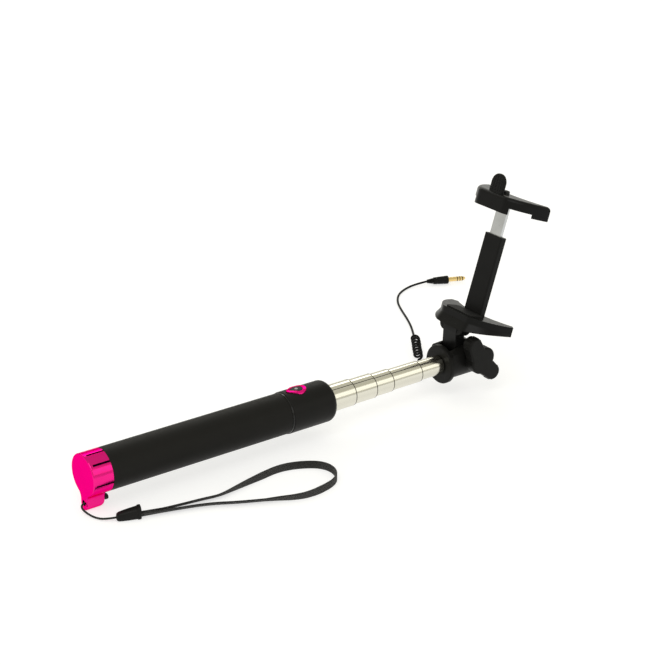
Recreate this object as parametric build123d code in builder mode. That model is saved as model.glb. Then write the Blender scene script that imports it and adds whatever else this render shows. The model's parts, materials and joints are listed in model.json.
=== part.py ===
from build123d import *
import os
from math import cos, radians, sin, sqrt, tan

# Telescopic selfie stick with a spring phone holder, a wing knob, a wired shutter button, a curly jack lead
# and a wrist strap. Millimetres. The collapsed stick lies along X, butt to head, on the table at z = 0.

os.makedirs("parts", exist_ok=True)

# --- Driving dimensions ---------------------------------------------------------------------------------
AXIS_H = 22.3  # the stick's axis above the table
BUTT_X = -164.6  # end face of the cap

CAP_R, CAP_LENGTH = 13.0, 13.0
GRIP_R, GRIP_LENGTH = 12.95, 125.2
COLLAR_R, COLLAR_LENGTH = 13.4, 34.8
SEAM = 1.2  # ring between the grip and the collar
CORE_R, CORE_BORE = 9.75, 9.0  # metal tube inside the handle
FIT = 0.05  # gap of a push fit or a running fit

LUG_R, LUG_LENGTH, LUG_BLEND = 3.5, 11.5, 5.0
EYE_R = 1.8

TUBE_NAMES = ("a", "b", "c", "d", "e")
TUBE_R = (8.7, 8.15, 7.6, 7.05, 6.4)
EXPOSED = (17.7, 17.0, 14.1, 23.9, 18.8)  # bare length in front of each tube's neighbour, at rest
TUBE_LENGTH, TUBE_WALL = 150.0, 0.3
BUSH_LENGTH = 8.0

FLANGE_R, FLANGE_T = 13.0, 3.0
SOCKET_R, SOCKET_LENGTH = 10.9, 27.0
EAR_R = 10.0
SLOT_HALF = 6.45
BARREL_R = 14.4  # rounds the tops of the head's two ears
PIVOT_DX, PIVOT_DZ = 20.0, 3.5  # pivot from the flange's rear face and above the stick's axis
BOLT_R = 2.5

TILT = radians(17.09)  # the holder leans this far towards +X at rest
TONGUE_HALF = 6.25
JAW_FRONT_LOW, JAW_FRONT_HIGH = 15.8, 12.6
JAW_FLAT, JAW_SPAN, JAW_DEPTH = 12.5, 30.3, 24.2
LOW_TOP, LOW_CREASE, LOW_BOTTOM = 27.9, 23.7, 17.5
SKIRT_FLARE = 3.0
PAD_T = 0.9
RAIL_FACE, RAIL_T, RAIL_HALF = 1.6, 5.0, 8.0
RAIL_BOTTOM, RAIL_FLOOR, RAIL_TOP = 21.5, 27.5, 81.0
HIGH_UNDER, HIGH_TOP = 102.1, 108.8
LIP_BOTTOM, LIP_T = 98.0, 2.0
TAB_HALF, TAB_TOP = 6.0, 121.2
SLIDER_HALF, SLIDER_T, SLIDER_BOTTOM = 5.0, 2.0, 56.5

CABLE_R = 0.8
COIL_R, COIL_LENGTH = 3.5, 32.0
BAND_WIDTH, BAND_T = 5.0, 1.0
STRING_R = 0.62

# --- Stations and planes worked out from them -----------------------------------------------------------
GRIP_X = BUTT_X + CAP_LENGTH
SEAM_X = GRIP_X + GRIP_LENGTH
COLLAR_X = SEAM_X + SEAM
COLLAR_END = SEAM_X + COLLAR_LENGTH
TUBE_END = [COLLAR_END + sum(EXPOSED[: i + 1]) for i in range(len(EXPOSED))]
FLANGE_X = TUBE_END[-1]
SOCKET_X = FLANGE_X + FLANGE_T
PIVOT = Vector(FLANGE_X + PIVOT_DX, 0, AXIS_H + PIVOT_DZ)

STICK_AXIS = Axis((0, 0, AXIS_H), (1, 0, 0))
SIDE = Plane(origin=(0, 0, AXIS_H), x_dir=(1, 0, 0), z_dir=(0, -1, 0))  # lengthways, local y up

FRONT = Vector(-cos(TILT), 0, sin(TILT))  # the way the phone's screen faces
RISE = Vector(sin(TILT), 0, cos(TILT))  # from the pivot up the holder


def across(x):
    """Plane square to the stick at x, facing +X: local x is +Y and local y is up."""
    return Plane(origin=(x, 0, AXIS_H), x_dir=(0, 1, 0), z_dir=(1, 0, 0))


def level(height):
    """Plane square to the holder, this far up from the pivot: local x is to the front, local y is -Y."""
    return Plane(origin=PIVOT + RISE * height, x_dir=FRONT, z_dir=RISE)


def facing(depth):
    """Plane parallel to the phone, this far to the front of the pivot: local x is -Y and local y is up."""
    return Plane(origin=PIVOT + FRONT * depth, x_dir=(0, -1, 0), z_dir=FRONT)


def side_on(y):
    """Plane square to the pivot's axis at y, facing -Y: local x is +X and local y is up."""
    return Plane(origin=(PIVOT.X, y, PIVOT.Z), x_dir=(1, 0, 0), z_dir=(0, -1, 0))


def holder_side():
    """Plane through the pivot, square to its axis: local x is to the holder's front, local y is up it."""
    return Plane(origin=PIVOT, x_dir=FRONT, z_dir=(0, 1, 0))


def ring(x, length, outer, inner):
    """A ring round the stick's axis, added to the sub-part that is being made."""
    with BuildSketch(across(x)) as section:
        Circle(outer)
        Circle(inner, mode=Mode.SUBTRACT)
    extrude(section.sketch, amount=length)


def bend_radii(route):
    """The largest arc that each corner of a cord's route has room for."""
    radii = []
    for before, corner, after in zip(route, route[1:], route[2:]):
        run_in = Vector(*corner) - Vector(*before)
        run_out = Vector(*after) - Vector(*corner)
        half_turn = radians(run_in.get_angle(run_out)) / 2
        radii.append(0.45 * min(run_in.length, run_out.length) / tan(half_turn))
    return radii


# --- Handle ---------------------------------------------------------------------------------------------
lug_drop = AXIS_H - LUG_R

with BuildPart() as end_cap:
    with BuildSketch(across(BUTT_X)) as lug_outline:
        Circle(CAP_R)
        with Locations((0, -lug_drop / 2)):
            Rectangle(2 * LUG_R, lug_drop)
        with Locations((0, -lug_drop)):
            Circle(LUG_R)
        corner_y = -sqrt(CAP_R**2 - LUG_R**2)
        fillet(lug_outline.vertices().filter_by(lambda v: abs(v.Y - corner_y) < 0.1), LUG_BLEND)
    extrude(amount=LUG_LENGTH)
    # The lug's inner bottom corner is well rounded.
    corner_r = 5.0
    lug_x = BUTT_X + LUG_LENGTH
    with BuildSketch(SIDE):
        with BuildLine():
            Polyline((lug_x - corner_r, -AXIS_H), (lug_x, -AXIS_H), (lug_x, corner_r - AXIS_H))
            RadiusArc((lug_x - corner_r, -AXIS_H), (lug_x, corner_r - AXIS_H), -corner_r)
        make_face()
    extrude(amount=LUG_R + 1, both=True, mode=Mode.SUBTRACT)
    with BuildSketch(across(BUTT_X)):
        Circle(CAP_R)
    extrude(amount=CAP_LENGTH)
    fillet(end_cap.faces().sort_by(Axis.X)[0].edges(), 0.6)
    # Spigot that plugs into the metal tube, hollow inside.
    ring(GRIP_X, 9.0, CORE_BORE - FIT, 7.4)
    with BuildSketch(across(GRIP_X - 9.0)):
        Circle(7.4)
    extrude(amount=9.0, mode=Mode.SUBTRACT)
    # Eye for the strap's string, along the lug.
    with BuildSketch(across(BUTT_X)):
        with Locations((0, -lug_drop + 1.0)):
            Circle(EYE_R)
    extrude(amount=LUG_LENGTH, mode=Mode.SUBTRACT)
    # Narrow grooves along the side, from just behind the rim to the seam.
    with BuildSketch(across(BUTT_X + 2.0)):
        for from_top in (8, 44, 102, -30, -68, -106):
            with PolarLocations(CAP_R, 1, start_angle=90 + from_top):
                Rectangle(0.9, 1.3)
    extrude(amount=CAP_LENGTH - 2.0, mode=Mode.SUBTRACT)
end_cap.part.label = "end_cap"
export_step(end_cap.part, "parts/end_cap.step")

with BuildPart() as handle_tube:
    ring(GRIP_X, COLLAR_END - 6.2 - GRIP_X, CORE_R, CORE_BORE)
handle_tube.part.label = "handle_tube"
export_step(handle_tube.part, "parts/handle_tube.step")

with BuildPart() as grip_sleeve:
    ring(GRIP_X, GRIP_LENGTH, GRIP_R, CORE_R + FIT)
    rims = grip_sleeve.edges().filter_by(GeomType.CIRCLE).sort_by(SortBy.RADIUS)[-2:]
    fillet(rims, 0.4)
grip_sleeve.part.label = "grip_sleeve"
export_step(grip_sleeve.part, "parts/grip_sleeve.step")

with BuildPart() as grip_ring:
    ring(SEAM_X, SEAM, COLLAR_R - 0.35, CORE_R + FIT)
grip_ring.part.label = "grip_ring"
export_step(grip_ring.part, "parts/grip_ring.step")

# --- Collar with the shutter button ---------------------------------------------------------------------
BUTTON_X = SEAM_X + 12.0
BEZEL_SEAT_R, BEZEL_TOP_R = 12.9, 14.1
SKIRT_BOTTOM, SKIRT_TOP_R = 11.9, 12.75
BUTTON_TOP_R = 13.95
BOARD_Z, BOARD_T = AXIS_H + 9.9, 0.8
SWITCH_T = 0.8
LIP_LENGTH = 2.0


def teardrop(height, grow):
    """Teardrop pointing to the butt, above the button; grow widens it all round."""
    with BuildSketch(Plane.XY.offset(AXIS_H + height)) as outline:
        with Locations((BUTTON_X, 0)):
            Circle(3.5 + grow)
        with Locations((BUTTON_X - 5.4, 0)):
            Circle(0.8 + grow)
        make_hull()
    return outline.sketch


def bezel_outline(height):
    """Outer outline of the bezel: wider in front of the button than beside it."""
    with BuildSketch(Plane.XY.offset(AXIS_H + height)) as outline:
        with Locations((BUTTON_X + 0.2, 0)):
            Circle(5.4)
        with Locations((BUTTON_X - 6.6, 0)):
            Circle(1.5)
        make_hull()
    return outline.sketch


def over_collar(outline, inner, outer):
    """The outline raised through the collar's top, kept between two distances from the stick's axis."""
    with BuildPart() as blank:
        extrude(outline, amount=12)
        with BuildSketch(across(COLLAR_X)):
            Circle(outer)
            Circle(inner, mode=Mode.SUBTRACT)
        extrude(amount=COLLAR_LENGTH, mode=Mode.INTERSECT)
    return blank.part


with BuildPart() as collar_housing:
    with BuildSketch(SIDE) as wall:
        with BuildLine():
            Polyline(
                (COLLAR_X, CORE_R + FIT),
                (COLLAR_X, COLLAR_R),
                (COLLAR_END, COLLAR_R),
                (COLLAR_END, TUBE_R[0] + 0.15),
                (COLLAR_END - LIP_LENGTH, TUBE_R[0] + 0.15),
                (COLLAR_END - LIP_LENGTH, CORE_R + FIT),
                close=True,
            )
        make_face()
        fillet(wall.vertices().group_by(Axis.Y)[-1].sort_by(Axis.X)[-1], 4.2)
        fillet(wall.vertices().group_by(Axis.Y)[-1].sort_by(Axis.X)[0], 0.5)
    revolve(axis=STICK_AXIS)
    # Pocket of the switch board and well of the button's skirt.
    with BuildSketch(Plane.XY.offset(AXIS_H + 7.0)):
        with Locations((BUTTON_X, 0)):
            Rectangle(14.0, 8.4)
    extrude(amount=4.8, mode=Mode.SUBTRACT)
    extrude(teardrop(11.3, 0.8), amount=4, mode=Mode.SUBTRACT)
    add(over_collar(bezel_outline(5.0), BEZEL_SEAT_R, BEZEL_TOP_R + 1), mode=Mode.SUBTRACT)
collar_housing.part.label = "collar_housing"
export_step(collar_housing.part, "parts/collar_housing.step")

with BuildPart() as front_bush:
    ring(COLLAR_END - 6.0, 3.9, CORE_R, TUBE_R[0] + FIT)
front_bush.part.label = "front_bush"
export_step(front_bush.part, "parts/front_bush.step")

with BuildPart() as button_bezel:
    add(over_collar(bezel_outline(5.0) - teardrop(5.0, 0.0), BEZEL_SEAT_R, BEZEL_TOP_R))
button_bezel.part.label = "button_bezel"
export_step(button_bezel.part, "parts/button_bezel.step")

with BuildPart() as shutter_button:
    extrude(teardrop(SKIRT_BOTTOM, 0.6), amount=4)
    with BuildSketch(across(COLLAR_X)):
        Circle(SKIRT_TOP_R)
    extrude(amount=COLLAR_LENGTH, mode=Mode.INTERSECT)
    extrude(teardrop(SKIRT_BOTTOM, -0.15), amount=4)
    with BuildSketch(across(COLLAR_X)):
        Circle(BUTTON_TOP_R)
    extrude(amount=COLLAR_LENGTH, mode=Mode.INTERSECT)
    with BuildSketch(Plane.XY.offset(AXIS_H + 13.4)):
        with Locations((BUTTON_X - 0.8, 0)):
            Circle(1.1)
    extrude(amount=2, mode=Mode.SUBTRACT)
shutter_button.part.label = "shutter_button"
export_step(shutter_button.part, "parts/shutter_button.step")

with BuildPart() as button_dot:
    with BuildSketch(Plane.XY.offset(AXIS_H + 13.4)):
        with Locations((BUTTON_X - 0.8, 0)):
            Circle(1.1 - 0.03)
    extrude(amount=0.62)
button_dot.part.label = "button_dot"
export_step(button_dot.part, "parts/button_dot.step")

with BuildPart() as switch_board:
    with BuildSketch(Plane.XY.offset(BOARD_Z)):
        with Locations((BUTTON_X, 0)):
            RectangleRounded(13.0, 8.0, 0.8)
            with Locations((-5.0, 0)):
                Circle(0.8, mode=Mode.SUBTRACT)
    extrude(amount=BOARD_T)
switch_board.part.label = "switch_board"
export_step(switch_board.part, "parts/switch_board.step")

with BuildPart() as tact_switch:
    with BuildSketch(Plane.XY.offset(BOARD_Z + BOARD_T)):
        with Locations((BUTTON_X, 0)):
            RectangleRounded(4.5, 4.5, 0.4)
    extrude(amount=SWITCH_T)
tact_switch.part.label = "tact_switch"
export_step(tact_switch.part, "parts/tact_switch.step")

with BuildPart() as return_dome:
    with BuildSketch(Plane.XY.offset(BOARD_Z + BOARD_T + SWITCH_T)):
        with Locations((BUTTON_X, 0)):
            Circle(1.5)
    extrude(amount=0.3, taper=30)
return_dome.part.label = "return_dome"
export_step(return_dome.part, "parts/return_dome.step")

# --- Telescopic tubes -----------------------------------------------------------------------------------
KEY_ANGLE = 119  # the pressed key line, from +Y round by the top
ROLL_PIN_X, ROLL_PIN_Y, ROLL_PIN_R = FLANGE_X - 7.0, 3.5, 0.75
outer_bore = [CORE_BORE] + [radius - TUBE_WALL for radius in TUBE_R]

for i, name in enumerate(TUBE_NAMES):
    radius, front = TUBE_R[i], TUBE_END[i]
    last = i == len(TUBE_NAMES) - 1
    with BuildPart() as tube:
        ring(front - TUBE_LENGTH, TUBE_LENGTH, radius, radius - TUBE_WALL)
        if not last:
            # The mouth is rolled in to guide the next tube and to stop its bush.
            ring(front - 1.5, 1.5, radius - TUBE_WALL, TUBE_R[i + 1] + FIT)
        fillet(tube.edges().filter_by(GeomType.CIRCLE).group_by(Axis.X)[-1].sort_by(SortBy.RADIUS)[-1], 0.2)
        with BuildSketch(across(front - TUBE_LENGTH)):
            with PolarLocations(radius, 1, start_angle=KEY_ANGLE):
                Rectangle(0.24, 0.5)
        extrude(amount=TUBE_LENGTH, mode=Mode.SUBTRACT)
        if last:
            with BuildSketch(Plane.XY):
                with Locations((ROLL_PIN_X, ROLL_PIN_Y)):
                    Circle(ROLL_PIN_R + FIT)
            extrude(amount=2 * AXIS_H, mode=Mode.SUBTRACT)
    tube.part.label = f"tube_{name}"
    export_step(tube.part, f"parts/tube_{name}.step")

    with BuildPart() as bush:
        ring(front - TUBE_LENGTH, BUSH_LENGTH, outer_bore[i] - FIT, radius)
    bush.part.label = f"bush_{name}"
    export_step(bush.part, f"parts/bush_{name}.step")

# --- Head -----------------------------------------------------------------------------------------------
GLAND_X = SOCKET_X - 0.4
GLAND_DOWN = radians(36)  # the gland points to +Y and this far below level
GLAND_WAY = Vector(0, cos(GLAND_DOWN), -sin(GLAND_DOWN))
GLAND_BASE, GLAND_TIP = 13.1, 19.0  # distances from the stick's axis
SPIGOT_LENGTH = 13.0
gland_plane = Plane(origin=(GLAND_X, 0, AXIS_H), x_dir=(1, 0, 0), z_dir=GLAND_WAY)

lead_start = Vector(TUBE_END[-1] - TUBE_LENGTH + 2.0, 0, AXIS_H)
lead_corner = Vector(GLAND_X, 0, AXIS_H)
lead_end = lead_corner + GLAND_WAY * 8.0


def lead_way(radius):
    """The wire's way through the innermost tube and the head, as a solid of this radius."""
    with BuildPart() as way:
        with BuildLine():
            line = FilletPolyline(lead_start, lead_corner, lead_end, radius=2.6)
        with BuildSketch(Plane(origin=line @ 0, z_dir=line % 0)):
            Circle(radius)
        sweep()
    return way.part


with BuildPart() as head_socket:
    with BuildSketch(across(SOCKET_X)):
        Circle(SOCKET_R)
        with Locations((0, 8)):
            Rectangle(2 * SOCKET_R, 16)
        Circle(BARREL_R, mode=Mode.INTERSECT)
    extrude(amount=SOCKET_LENGTH)
    with BuildSketch(SIDE):
        with BuildLine():
            ear_x = PIVOT.X
            nose_x = SOCKET_X + SOCKET_LENGTH
            ear_top = (ear_x, PIVOT_DZ + EAR_R)
            Polyline(
                (ear_x + EAR_R, PIVOT_DZ), (nose_x, -SOCKET_R), (SOCKET_X, -SOCKET_R), (SOCKET_X, SOCKET_R)
            )
            Spline((SOCKET_X, SOCKET_R), ear_top, tangents=((1, 0.2), (1, 0)))
            RadiusArc(ear_top, (ear_x + EAR_R, PIVOT_DZ), EAR_R)
        make_face()
    extrude(amount=SOCKET_R + 1, both=True, mode=Mode.INTERSECT)
    ring(FLANGE_X, FLANGE_T, FLANGE_R, 1.0)
    rear_rim = head_socket.edges().filter_by(GeomType.CIRCLE).group_by(Axis.X)[0].sort_by(SortBy.RADIUS)[-1]
    fillet(rear_rim, 0.9)
    ring(FLANGE_X - SPIGOT_LENGTH, SPIGOT_LENGTH + 1, TUBE_R[-1] - TUBE_WALL - FIT, 1.0)
    # Boss of the cable's gland on the far side.
    with BuildSketch(gland_plane.offset(6.0)):
        Circle(3.2)
    extrude(amount=GLAND_BASE - 6.0)
    # Slot of the holder's tongue, with a sloping back that lets it lean over the handle.
    with BuildSketch(SIDE):
        with BuildLine():
            slot_back = SOCKET_X + 2.8
            Polyline(
                (slot_back, -6.9),
                (nose_x + 5, -6.9),
                (nose_x + 5, 20),
                (SOCKET_X + 0.4, 20),
                (SOCKET_X + 0.4, 12),
                (slot_back, 3),
                close=True,
            )
        make_face()
    extrude(amount=SLOT_HALF, both=True, mode=Mode.SUBTRACT)
    with BuildSketch(side_on(0)):
        Circle(BOLT_R + FIT)
    extrude(amount=SOCKET_R + 1, both=True, mode=Mode.SUBTRACT)
    with BuildSketch(Plane.XY):
        with Locations((ROLL_PIN_X, ROLL_PIN_Y)):
            Circle(ROLL_PIN_R + FIT)
    extrude(amount=2 * AXIS_H, mode=Mode.SUBTRACT)
    add(lead_way(1.0), mode=Mode.SUBTRACT)
    with BuildSketch(gland_plane.offset(6.5)):
        Circle(1.7)
    extrude(amount=10, mode=Mode.SUBTRACT)
head_socket.part.label = "head_socket"
export_step(head_socket.part, "parts/head_socket.step")

with BuildPart() as inner_lead:
    add(lead_way(0.8))
inner_lead.part.label = "inner_lead"
export_step(inner_lead.part, "parts/inner_lead.step")

pin_half = sqrt(TUBE_R[-1] ** 2 - (ROLL_PIN_Y + ROLL_PIN_R) ** 2)
with BuildPart() as roll_pin:
    with BuildSketch(Plane.XY.offset(AXIS_H - pin_half)):
        with Locations((ROLL_PIN_X, ROLL_PIN_Y)):
            Circle(ROLL_PIN_R)
            Circle(0.35, mode=Mode.SUBTRACT)
    extrude(amount=2 * pin_half)
roll_pin.part.label = "roll_pin"
export_step(roll_pin.part, "parts/roll_pin.step")

with BuildPart() as cable_gland:
    with BuildSketch(gland_plane.offset(8.0)):
        Circle(1.65)
    extrude(amount=GLAND_BASE - 8.0)
    with BuildSketch(gland_plane.offset(GLAND_BASE)):
        Circle(2.7)
    with BuildSketch(gland_plane.offset(GLAND_TIP)):
        Circle(1.3)
    loft()
cable_gland.part.label = "cable_gland"
export_step(cable_gland.part, "parts/cable_gland.step")

WASHER_T = 0.55
WASHER_Y = SOCKET_R + FIT
with BuildPart() as pivot_washers:
    for y in (-WASHER_Y, WASHER_Y + WASHER_T):
        with BuildSketch(side_on(y)):
            Circle(5.2)
            Circle(BOLT_R + 0.1, mode=Mode.SUBTRACT)
        extrude(amount=WASHER_T)
pivot_washers.part.label = "pivot_washers"
export_step(pivot_washers.part, "parts/pivot_washers.step")

HEX_Y = WASHER_Y + WASHER_T
BOLT_TIP_Y = -16.6
with BuildPart() as pivot_bolt:
    with BuildSketch(side_on(HEX_Y + 3.4)):
        RegularPolygon(4.0, 6, major_radius=False)
    extrude(amount=3.4)
    with BuildSketch(side_on(HEX_Y)):
        Circle(BOLT_R)
    extrude(amount=HEX_Y - BOLT_TIP_Y)
    chamfer(pivot_bolt.edges().filter_by(GeomType.CIRCLE).sort_by(Axis.Y)[0], 0.4)
pivot_bolt.part.label = "pivot_bolt"
export_step(pivot_bolt.part, "parts/pivot_bolt.step")

# --- Wing knob ------------------------------------------------------------------------------------------
HUB_R, HUB_Y = 8.0, -11.6
WING_Y, WING_T = -13.4, 7.0
WING_REACH, WING_END_R = 14.0, 5.3
WING_ANGLES = (115, -42)  # the butterfly wings stand a little to one side
BROW_R, BROW_OFFSET, BROW_ANGLE = 7.2, 4.0, 36.5  # the fuller side between the wings
INSERT_R, INSERT_LENGTH = 4.2, 5.4

with BuildPart() as wing_knob:
    with BuildSketch(side_on(WING_Y)):
        for angle in WING_ANGLES:
            with BuildSketch(mode=Mode.PRIVATE) as wing:
                Circle(6.6)
                with PolarLocations(WING_REACH, 1, start_angle=angle):
                    Circle(WING_END_R)
                make_hull()
            add(wing.sketch)
        Circle(HUB_R)
        with PolarLocations(BROW_OFFSET, 1, start_angle=BROW_ANGLE):
            Circle(BROW_R)
    extrude(amount=WING_T)
    fillet(wing_knob.edges().group_by(Axis.Y)[0], 1.1)
    with BuildSketch(side_on(HUB_Y)):
        Circle(HUB_R - 0.6)
    extrude(amount=2.5)
    # Finger ridges round the wings' ends.
    with BuildSketch(side_on(WING_Y - 0.7)):
        for angle in WING_ANGLES:
            with PolarLocations(WING_REACH, 1, start_angle=angle):
                with PolarLocations(WING_END_R, 7, start_angle=-78, angular_range=156, endpoint=True):
                    Circle(0.45)
    extrude(amount=WING_T - 2.0)
    with BuildSketch(side_on(HUB_Y)):
        Circle(INSERT_R + FIT)
    extrude(amount=INSERT_LENGTH, mode=Mode.SUBTRACT)
wing_knob.part.label = "wing_knob"
export_step(wing_knob.part, "parts/wing_knob.step")

with BuildPart() as knob_insert:
    with BuildSketch(side_on(HUB_Y)):
        Circle(INSERT_R)
        Circle(BOLT_R + FIT, mode=Mode.SUBTRACT)
    extrude(amount=INSERT_LENGTH)
knob_insert.part.label = "knob_insert"
export_step(knob_insert.part, "parts/knob_insert.step")

# --- Phone holder: lower jaw and spine ------------------------------------------------------------------


def bow(height, front, grow=0.0):
    """Plan of a jaw at this height: flat front, arms that sweep back, blunt ends and a hollow back."""
    span = JAW_SPAN + grow
    back = front - JAW_DEPTH - 2.4
    with BuildSketch(level(height)) as plan:
        with BuildLine():
            Line((front, -JAW_FLAT), (front, JAW_FLAT))
            for side in (1, -1):
                ThreePointArc(
                    (front, side * JAW_FLAT),
                    (front - 8.2, side * (22.6 + 0.8 * grow)),
                    (front - JAW_DEPTH, side * span),
                )
                Line((front - JAW_DEPTH, side * span), (back, side * (span - 3.6)))
            ThreePointArc((back, span - 3.6), (front - 18.8, 0), (back, 3.6 - span))
        make_face()
        fillet(plan.vertices().group_by(Axis.X)[-1], 7.0)
    return plan.sketch


KNOB_RELIEF_R = 20.6
SCREW_V, SCREW_W = 4.6, 24.4

with BuildPart() as holder_base:
    extrude(bow(LOW_CREASE, JAW_FRONT_LOW), amount=LOW_TOP - LOW_CREASE)
    loft([bow(LOW_BOTTOM, JAW_FRONT_LOW + SKIRT_FLARE, SKIRT_FLARE), bow(LOW_CREASE, JAW_FRONT_LOW)])
    # The underside rises towards the tips of the arms.
    with BuildSketch(facing(-20)):
        with BuildLine():
            ThreePointArc((-40, 24.6), (0, LOW_BOTTOM), (40, 24.6))
            Polyline((-40, 24.6), (-40, 10), (40, 10), (40, 24.6))
        make_face()
    extrude(amount=45, mode=Mode.SUBTRACT)
    # Room under the arms for the wing knob.
    for y in (-11.0, 23.0):
        with BuildSketch(side_on(y)):
            Circle(KNOB_RELIEF_R)
        extrude(amount=12, mode=Mode.SUBTRACT)
    # Neck and knuckle.
    with BuildSketch(holder_side()):
        with BuildLine():
            Polyline((13.6, 3.0), (16.8, 14.7), (17.6, LOW_BOTTOM + 3), (9.0, LOW_BOTTOM + 3), (8.6, 12.0),
                     (2.0, 9.8), close=True)
        make_face()
        Circle(EAR_R)
        with BuildLine():
            Polyline((1.0, -9.95), (13.6, 3.0), (2.0, 9.8), close=True)
        make_face()
    extrude(amount=TONGUE_HALF, both=True)
    # Flares where the neck spreads into the jaw.
    with BuildSketch(facing(9.4)):
        for side in (1, -1):
            with BuildLine():
                Polyline((side * 6, 13.6), (side * TONGUE_HALF, 13.6))
                RadiusArc((side * TONGUE_HALF, 13.6), (side * 11.0, 18.4), side * -4.9)
                Polyline((side * 11.0, 18.4), (side * 11.0, 20.5), (side * 6, 20.5), (side * 6, 13.6))
            make_face()
    extrude(amount=7.2)
    with BuildSketch(side_on(0)):
        Circle(BOLT_R + FIT)
    extrude(amount=10, both=True, mode=Mode.SUBTRACT)
    # Socket of the rail and holes of its two screws.
    with BuildSketch(level(RAIL_BOTTOM)):
        with Locations((RAIL_FACE - RAIL_T / 2, 0)):
            Rectangle(RAIL_T + 2 * FIT, 2 * (RAIL_HALF + FIT))
    extrude(amount=10, mode=Mode.SUBTRACT)
    with BuildSketch(facing(RAIL_FACE)):
        with Locations((-SCREW_V, SCREW_W), (SCREW_V, SCREW_W)):
            Circle(1.25)
    extrude(amount=6.4, mode=Mode.SUBTRACT)
holder_base.part.label = "holder_base"
export_step(holder_base.part, "parts/holder_base.step")

with BuildPart() as lower_pad:
    with BuildSketch(level(LOW_TOP)):
        with Locations((8.3, 0)):
            RectangleRounded(12.0, 25.0, 2.5)
    extrude(amount=PAD_T)
lower_pad.part.label = "lower_pad"
export_step(lower_pad.part, "parts/lower_pad.step")

CAVITY_HALF, CAVITY_T = SLIDER_HALF + 0.15, SLIDER_T + 0.3
CAVITY_N = RAIL_FACE - RAIL_T / 2  # middle of the rail's thickness

with BuildPart() as back_rail:
    with BuildSketch(level(RAIL_BOTTOM)):
        with Locations((CAVITY_N, 0)):
            RectangleRounded(RAIL_T, 2 * RAIL_HALF, 1.0)
    extrude(amount=RAIL_TOP - RAIL_BOTTOM)
    with BuildSketch(level(RAIL_FLOOR)):
        with Locations((CAVITY_N, 0)):
            Rectangle(CAVITY_T, 2 * CAVITY_HALF)
    extrude(amount=RAIL_TOP, mode=Mode.SUBTRACT)
    with BuildSketch(facing(RAIL_FACE)):
        with Locations((-SCREW_V, SCREW_W), (SCREW_V, SCREW_W)):
            Circle(1.25)
    extrude(amount=-RAIL_T - 1, mode=Mode.SUBTRACT)
back_rail.part.label = "back_rail"
export_step(back_rail.part, "parts/back_rail.step")

with BuildPart() as rail_screws:
    with BuildSketch(facing(RAIL_FACE - RAIL_T - 1.3)):
        with Locations((-SCREW_V, SCREW_W), (SCREW_V, SCREW_W)):
            Circle(2.2)
    extrude(amount=1.3)
    with BuildSketch(facing(RAIL_FACE - RAIL_T)):
        with Locations((-SCREW_V, SCREW_W), (SCREW_V, SCREW_W)):
            Circle(1.2)
    extrude(amount=11.0)
rail_screws.part.label = "rail_screws"
export_step(rail_screws.part, "parts/rail_screws.step")

SPRING_R, SPRING_V = 1.1, 2.6
with BuildPart() as jaw_springs:
    with BuildSketch(level(RAIL_FLOOR)):
        with Locations((CAVITY_N, -SPRING_V), (CAVITY_N, SPRING_V)):
            Circle(SPRING_R)
            Circle(SPRING_R - 0.35, mode=Mode.SUBTRACT)
    extrude(amount=SLIDER_BOTTOM - RAIL_FLOOR)
jaw_springs.part.label = "jaw_springs"
export_step(jaw_springs.part, "parts/jaw_springs.step")

# --- Phone holder: upper jaw ----------------------------------------------------------------------------
FLANGE_DEPTH = 7.0
SLIDER_BACK = CAVITY_N - SLIDER_T / 2
CLAMP_SCREW_N = 0.8
FOOT_BOTTOM, FOOT_V = 99.6, 26.0

with BuildPart() as upper_jaw:
    extrude(bow(LIP_BOTTOM, JAW_FRONT_HIGH), amount=HIGH_TOP - LIP_BOTTOM)
    # Pocket of the slider's foot.
    with BuildSketch(level(LIP_BOTTOM)):
        with Locations((SLIDER_BACK + FLANGE_DEPTH / 2, 0)):
            Rectangle(FLANGE_DEPTH + 0.1, 2 * SLIDER_HALF + 0.1)
    extrude(amount=HIGH_UNDER + 1.9 - LIP_BOTTOM, mode=Mode.SUBTRACT)
    # The underside is cut back to a lip in front of the phone and small feet at the ends of the arms.
    lip_face = JAW_FRONT_HIGH - LIP_T
    for half_width, top in ((JAW_SPAN + 1, FOOT_BOTTOM), (FOOT_V, HIGH_UNDER)):
        with BuildSketch(level(LIP_BOTTOM)):
            with Locations((lip_face - 20, 0)):
                Rectangle(40, 2 * half_width)
        extrude(amount=top - LIP_BOTTOM, mode=Mode.SUBTRACT)
    top_face = upper_jaw.faces().filter_by(Axis(PIVOT, RISE)).sort_by(Axis(PIVOT, RISE))[-1]
    fillet(top_face.edges(), 2.4)
    with BuildSketch(level(LIP_BOTTOM)):
        with Locations((CLAMP_SCREW_N, 0)):
            Circle(1.55)
    extrude(amount=20, mode=Mode.SUBTRACT)
    # Thumb tab.
    tab_back, tab_t = 8.4, 2.4
    with BuildSketch(facing(tab_back)):
        with Locations((0, TAB_TOP - TAB_HALF)):
            Circle(TAB_HALF)
        with Locations((0, (HIGH_TOP - 3 + TAB_TOP - TAB_HALF) / 2)):
            Rectangle(2 * TAB_HALF, TAB_TOP - TAB_HALF - HIGH_TOP + 3)
    extrude(amount=tab_t)
    fillet(upper_jaw.edges().filter_by(GeomType.CIRCLE).sort_by(Axis(PIVOT, RISE))[-2:], 0.6)
    with BuildSketch(facing(tab_back + tab_t)):
        with Locations((0, TAB_TOP - 6.6)):
            with GridLocations(2.2, 2.0, 4, 5):
                Circle(0.55)
    extrude(amount=0.25)
upper_jaw.part.label = "upper_jaw"
export_step(upper_jaw.part, "parts/upper_jaw.step")

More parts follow.
